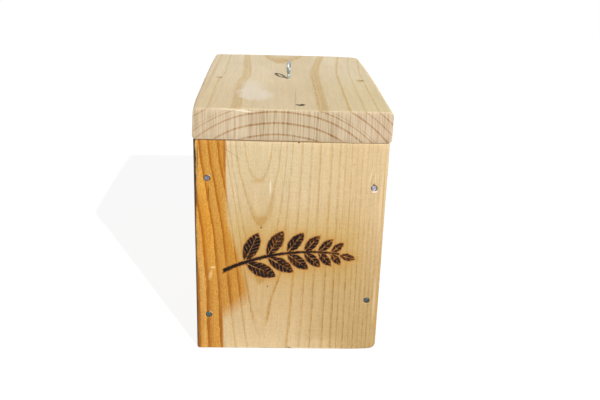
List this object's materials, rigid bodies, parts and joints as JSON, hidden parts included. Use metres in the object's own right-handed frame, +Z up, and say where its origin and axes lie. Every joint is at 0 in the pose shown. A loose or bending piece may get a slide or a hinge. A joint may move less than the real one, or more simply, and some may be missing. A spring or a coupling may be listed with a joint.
{
  "type": "wooden nest box",
  "caption": "Small pine nest box of nailed boards with a flat overhanging roof, a round entrance hole and a steel screw eye to hang it by.",
  "frame": {"origin": "under the middle of the roof, on the level the box stands on", "axes": "+Z up, +Y out of the entrance hole, -Y out of the back wall that carries the burnt mark, +X to the right seen from the back wall's side"},
  "size_m": [0.144, 0.224, 0.2103],
  "materials": {
    "wall_pine": "planed bare pine, unvarnished",
    "roof_pine": "planed bare pine, sawn ends",
    "nail_steel": "plain bright steel, slightly dulled",
    "zinc_plate": "bright zinc plate"
  },
  "bodies": {
    "root": {"back_wall": "wall_pine", "front_wall": "wall_pine", "left_wall": "wall_pine", "right_wall": "wall_pine", "floor": "wall_pine", "roof": "roof_pine", "screw_eye": "zinc_plate", "back_wall_nail_top_left": "nail_steel", "back_wall_nail_top_right": "nail_steel", "back_wall_nail_bottom_left": "nail_steel", "back_wall_nail_bottom_right": "nail_steel", "front_wall_nail_top_left": "nail_steel", "front_wall_nail_top_right": "nail_steel", "front_wall_nail_bottom_left": "nail_steel", "front_wall_nail_bottom_right": "nail_steel", "floor_nail_left_1": "nail_steel", "floor_nail_left_2": "nail_steel", "floor_nail_right_1": "nail_steel", "floor_nail_right_2": "nail_steel", "roof_nail_left": "nail_steel", "roof_nail_right": "nail_steel", "roof_nail_back": "nail_steel", "roof_nail_front": "nail_steel"}
  },
  "joints": []
}
